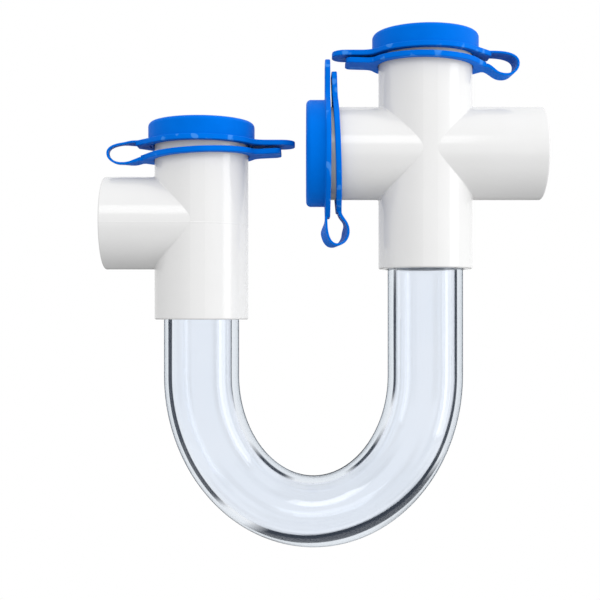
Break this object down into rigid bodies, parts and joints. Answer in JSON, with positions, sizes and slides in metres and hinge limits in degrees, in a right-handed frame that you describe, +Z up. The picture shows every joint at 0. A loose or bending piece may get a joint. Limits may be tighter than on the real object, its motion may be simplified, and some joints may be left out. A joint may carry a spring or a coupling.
{
  "type": "condensate trap",
  "caption": "Clear U-shaped trap tube between a white inlet cross and a lower outlet tee, with tethered blue push-on caps over the clean-out ends.",
  "frame": {"origin": "centre of the inlet mouth, on the face of the cross's right arm", "axes": "+X out of the inlet, +Z up, +Y to the back, as the trap hangs in its pipe run"},
  "size_m": [0.1553, 0.0404, 0.1827],
  "materials": {
    "white_pvc": "smooth moulded white PVC",
    "clear_tube": "clear rigid tube, glossy",
    "blue_cap": "soft blue plastic with a satin sheen"
  },
  "bodies": {
    "trap": {"outlet_tee": "white_pvc", "inlet_cross": "white_pvc", "clear_u_tube": "clear_tube"},
    "tee_tether": {"tee_cap_collar": "blue_cap", "tee_cap_strap": "blue_cap"},
    "tee_closure": {"tee_cap": "blue_cap"},
    "top_tether": {"top_cap_collar": "blue_cap", "top_cap_strap": "blue_cap"},
    "top_closure": {"top_cap": "blue_cap"},
    "side_tether": {"side_cap_collar": "blue_cap", "side_cap_strap": "blue_cap"},
    "side_closure": {"side_cap": "blue_cap"}
  },
  "joints": [
    {"name": "tee_collar_swivel", "type": "hinge", "parent": "trap", "child": "tee_tether", "pos_m": [-0.12101, 0, 0], "axis": [0, 0, 1], "continuous": true},
    {"name": "tee_cap_pull", "type": "slide", "parent": "tee_tether", "child": "tee_closure", "axis": [0, 0, 1], "range_m": [0, 0.015], "deforming": ["tee_cap_strap"]},
    {"name": "top_collar_swivel", "type": "hinge", "parent": "trap", "child": "top_tether", "pos_m": [-0.0412, 0, 0], "axis": [0, 0, 1], "range_deg": [-135, 135]},
    {"name": "top_cap_pull", "type": "slide", "parent": "top_tether", "child": "top_closure", "axis": [0, 0, 1], "range_m": [0, 0.015], "deforming": ["top_cap_strap"]},
    {"name": "side_collar_swivel", "type": "hinge", "parent": "trap", "child": "side_tether", "pos_m": [-0.08241, 0, 0], "axis": [-1, 0, 0], "range_deg": [-150, 150]},
    {"name": "side_cap_pull", "type": "slide", "parent": "side_tether", "child": "side_closure", "axis": [-1, 0, 0], "range_m": [0, 0.0025], "deforming": ["side_cap_strap"]}
  ]
}
